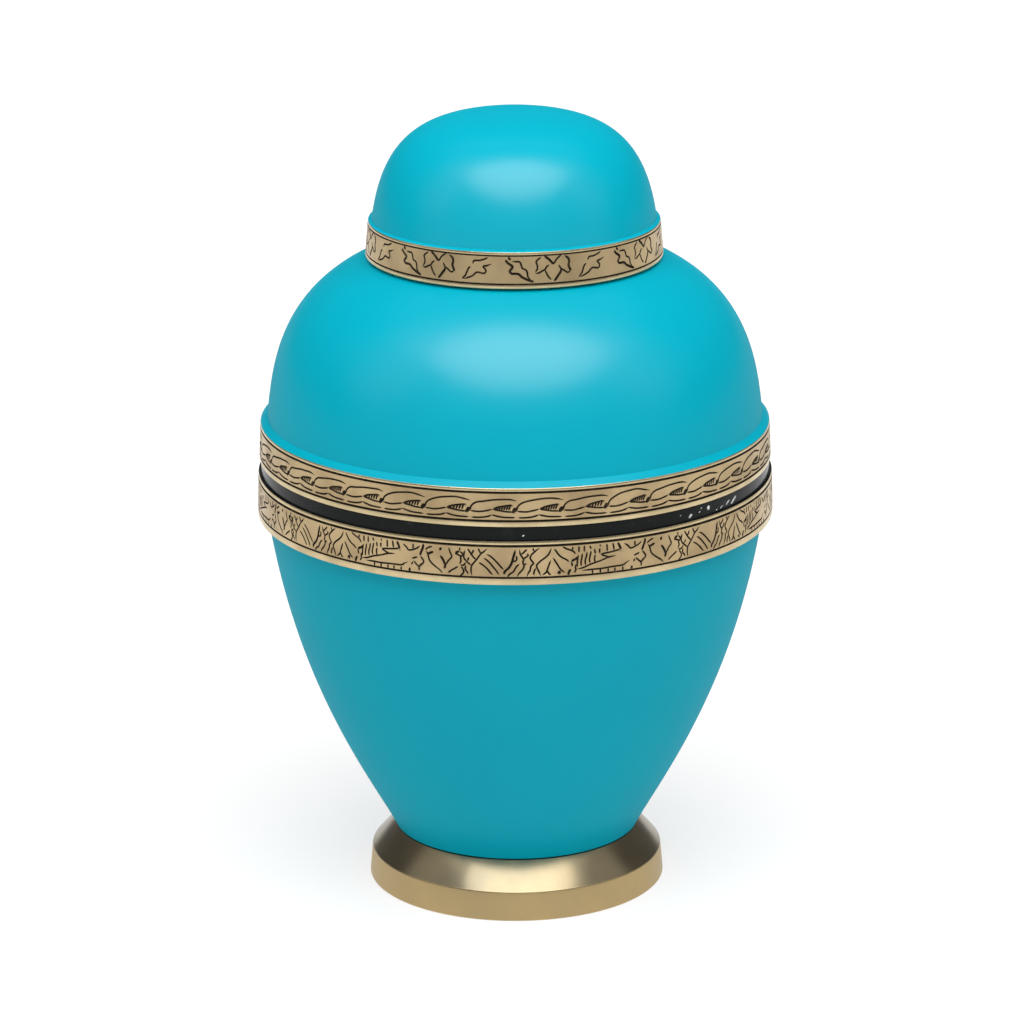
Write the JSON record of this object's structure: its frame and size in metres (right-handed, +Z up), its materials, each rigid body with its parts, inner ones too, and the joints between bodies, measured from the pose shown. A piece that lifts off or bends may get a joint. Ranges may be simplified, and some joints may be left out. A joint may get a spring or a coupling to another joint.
{
  "type": "funeral urn",
  "caption": "Lidded cremation urn: domed lift-off lid, round shoulder and tapering bowl on a foot ring, with engraved bands and a dark groove round the widest place.",
  "frame": {"origin": "centre of the underside of the foot, on the surface the urn stands on", "axes": "+Z up along the turning axis, front faces -Y, +X to the right seen from the front"},
  "size_m": [0.1748, 0.1748, 0.2677],
  "materials": {
    "turquoise_enamel": "glossy turquoise enamel over brass",
    "brass": "satin brass, engraved and darkened in the lines on the bands",
    "black_enamel": "satin black enamel in the groove, chipped in a few places"
  },
  "bodies": {
    "root": {"foot": "brass", "lower_body": "turquoise_enamel", "upper_body": "turquoise_enamel", "lid": "turquoise_enamel"}
  },
  "joints": []
}
